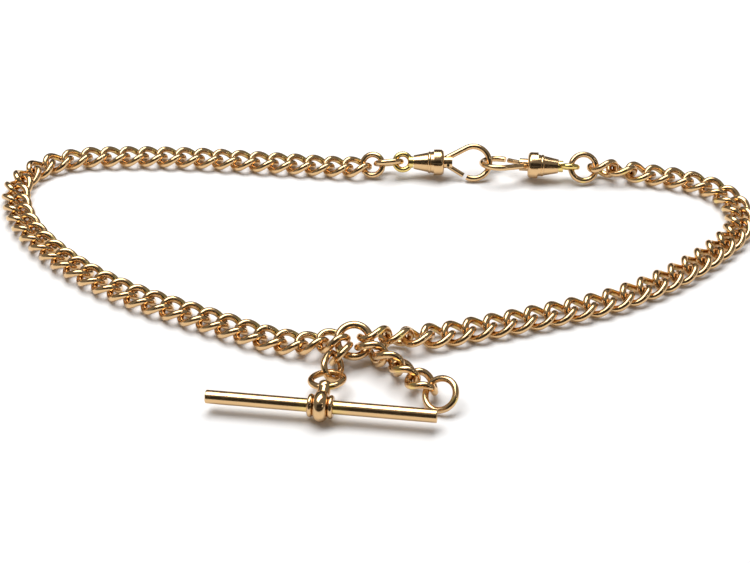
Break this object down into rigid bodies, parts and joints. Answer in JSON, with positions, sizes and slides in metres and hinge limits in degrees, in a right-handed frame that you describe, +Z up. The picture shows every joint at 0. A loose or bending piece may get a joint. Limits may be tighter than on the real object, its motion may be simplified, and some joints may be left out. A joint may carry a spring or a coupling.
{
  "type": "pocket watch chain",
  "caption": "Curb-link pocket watch chain with a centre ring, a T-bar, a short drop chain and a swivel dog clip at each end, laid out as a loop with the two clips hooked together.",
  "frame": {"origin": "centre of the laid-out chain's footprint, at the surface it lies on", "axes": "+Z up from the surface, +X along the loop towards the right arm, -Y the T-bar side"},
  "size_m": [0.1514, 0.0894, 0.0067],
  "materials": {
    "rose_gold": "polished",
    "yellow_gold": "polished",
    "spring": "satin"
  },
  "bodies": {
    "loop_base": {"centre_ring": "rose_gold", "left_arm_links_01_to_03": "rose_gold", "left_arm_links_04_to_06": "rose_gold", "left_arm_links_07_to_09": "rose_gold", "left_arm_links_10_to_13": "rose_gold"},
    "left_arm_far": {"left_arm_links_14_to_16": "rose_gold", "left_arm_links_17_to_19": "rose_gold", "left_arm_links_20_to_22": "rose_gold", "left_arm_links_23_to_25": "rose_gold", "left_arm_links_26_to_28": "rose_gold", "left_arm_links_29_to_31": "rose_gold", "left_arm_links_32_to_34": "rose_gold", "left_arm_links_35_to_37": "rose_gold", "left_arm_links_38_to_40": "rose_gold", "left_arm_links_41_to_43": "rose_gold", "left_end_ring": "rose_gold", "left_clip_link": "rose_gold", "left_clip_swivel_eye": "yellow_gold", "left_clip_rivet_head": "rose_gold"},
    "left_clip_body": {"left_clip_barrel": "rose_gold", "left_clip_collar": "rose_gold", "left_clip_hook": "rose_gold", "left_clip_gate_pin": "rose_gold", "left_clip_gate_spring": "spring"},
    "left_clip_gate": {"left_clip_gate": "rose_gold"},
    "right_arm_near": {"right_arm_links_01_to_03": "rose_gold", "right_arm_links_04_to_06": "rose_gold", "right_arm_links_07_to_09": "rose_gold", "right_arm_links_10_to_12": "rose_gold", "right_arm_links_13_to_15": "rose_gold", "right_arm_links_16_to_18": "rose_gold", "right_arm_links_19_to_22": "rose_gold"},
    "right_arm_far": {"right_arm_links_23_to_25": "rose_gold", "right_arm_links_26_to_28": "rose_gold", "right_arm_links_29_to_32": "rose_gold", "right_end_ring": "rose_gold", "right_clip_swivel_eye": "yellow_gold", "right_clip_rivet_head": "rose_gold"},
    "right_clip_body": {"right_clip_barrel": "rose_gold", "right_clip_collar": "rose_gold", "right_clip_hook": "rose_gold", "right_clip_gate_pin": "rose_gold", "right_clip_gate_spring": "spring"},
    "right_clip_gate": {"right_clip_gate": "rose_gold"},
    "t_bar_upper_ring": {"t_bar_upper_ring": "rose_gold"},
    "t_bar_link": {"t_bar_link": "rose_gold"},
    "t_bar_ring": {"t_bar_ring": "rose_gold"},
    "t_bar": {"t_bar_rod": "rose_gold", "t_bar_bead": "rose_gold", "t_bar_knob": "rose_gold"},
    "drop_link_1": {"drop_chain_link_1": "rose_gold"},
    "drop_link_2": {"drop_chain_link_2": "rose_gold"},
    "drop_link_3": {"drop_chain_link_3": "rose_gold"},
    "drop_link_4": {"drop_chain_link_4": "rose_gold"},
    "drop_end_ring": {"drop_chain_end_ring": "rose_gold"}
  },
  "joints": [
    {"name": "left_arm_swing", "type": "hinge", "parent": "loop_base", "child": "left_arm_far", "pos_m": [-0.05143, -0.00345, 0.00156], "axis": [0, 0, 1], "range_deg": [-4, 12]},
    {"name": "right_arm_swing", "type": "hinge", "parent": "loop_base", "child": "right_arm_near", "pos_m": [-0.00154, -0.02415, 0.00418], "axis": [0, 0, 1], "range_deg": [-4.01, 12.01]},
    {"name": "right_arm_bend", "type": "hinge", "parent": "right_arm_near", "child": "right_arm_far", "pos_m": [0.07237, 0.01591, 0.00156], "axis": [0, 0, 1], "range_deg": [-12.21, 4.08]},
    {"name": "left_clip_swivel", "type": "hinge", "parent": "left_arm_far", "child": "left_clip_body", "pos_m": [0.00607, 0.03659, 0.00336], "axis": [0.9998, -0.0175, 0], "range_deg": [-12, 12]},
    {"name": "left_clip_gate_pivot", "type": "hinge", "parent": "left_clip_body", "child": "left_clip_gate", "pos_m": [0.01547, 0.036, 0.00277], "axis": [-0.0141, -0.8089, 0.5878], "range_deg": [0, 22], "stiffness_Nm_per_rad": 0.003, "springref_deg": -14.32},
    {"name": "right_clip_swivel", "type": "hinge", "parent": "right_arm_far", "child": "right_clip_body", "pos_m": [0.04046, 0.03464, 0.00336], "axis": [-0.9954, 0.0958, 0], "range_deg": [-12, 12]},
    {"name": "right_clip_gate_pivot", "type": "hinge", "parent": "right_clip_body", "child": "right_clip_gate", "pos_m": [0.03116, 0.03624, 0.00317], "axis": [0.0248, 0.2576, 0.9659], "range_deg": [0, 22], "stiffness_Nm_per_rad": 0.003, "springref_deg": -14.32},
    {"name": "t_bar_upper_ring_lift", "type": "hinge", "parent": "loop_base", "child": "t_bar_upper_ring", "pos_m": [-0.00476, -0.02568, 0.00303], "axis": [-0.8348, 0.5505, 0], "range_deg": [0, 6]},
    {"name": "t_bar_link_lift", "type": "hinge", "parent": "t_bar_upper_ring", "child": "t_bar_link", "pos_m": [-0.0065, -0.02832, 0.00271], "axis": [-0.9593, 0.2823, 0], "range_deg": [0, 8]},
    {"name": "t_bar_ring_lift", "type": "hinge", "parent": "t_bar_link", "child": "t_bar_ring", "pos_m": [-0.00759, -0.03203, 0.00241], "axis": [-0.9914, 0.1305, 0], "range_deg": [0, 8]},
    {"name": "t_bar_turn", "type": "hinge", "parent": "t_bar_ring", "child": "t_bar", "pos_m": [-0.00823, -0.03685, 0.00345], "axis": [-0.9914, 0.1305, 0], "range_deg": [0, 60]},
    {"name": "drop_link_1_lift", "type": "hinge", "parent": "loop_base", "child": "drop_link_1", "pos_m": [-0.00189, -0.02558, 0.0031], "axis": [-0.5476, -0.8368, 0], "range_deg": [0, 7]},
    {"name": "drop_link_2_lift", "type": "hinge", "parent": "drop_link_1", "child": "drop_link_2", "pos_m": [0.00141, -0.02775, 0.00291], "axis": [-0.6807, -0.7325, 0], "range_deg": [0, 16]},
    {"name": "drop_link_3_lift", "type": "hinge", "parent": "drop_link_2", "child": "drop_link_3", "pos_m": [0.0043, -0.03043, 0.0029], "axis": [-0.7302, -0.6833, 0], "range_deg": [0, 16]},
    {"name": "drop_link_4_lift", "type": "hinge", "parent": "drop_link_3", "child": "drop_link_4", "pos_m": [0.007, -0.03331, 0.00272], "axis": [-0.7108, -0.7034, 0], "range_deg": [0, 9]},
    {"name": "drop_end_ring_lift", "type": "hinge", "parent": "drop_link_4", "child": "drop_end_ring", "pos_m": [0.00977, -0.03612, 0.00253], "axis": [-0.6756, -0.7373, 0], "range_deg": [0, 16]}
  ],
  "couplings": [
    {"joint": "right_arm_swing", "follows": "left_arm_swing", "ratio": 1.0003},
    {"joint": "right_arm_bend", "follows": "left_arm_swing", "ratio": -1.0165}
  ]
}
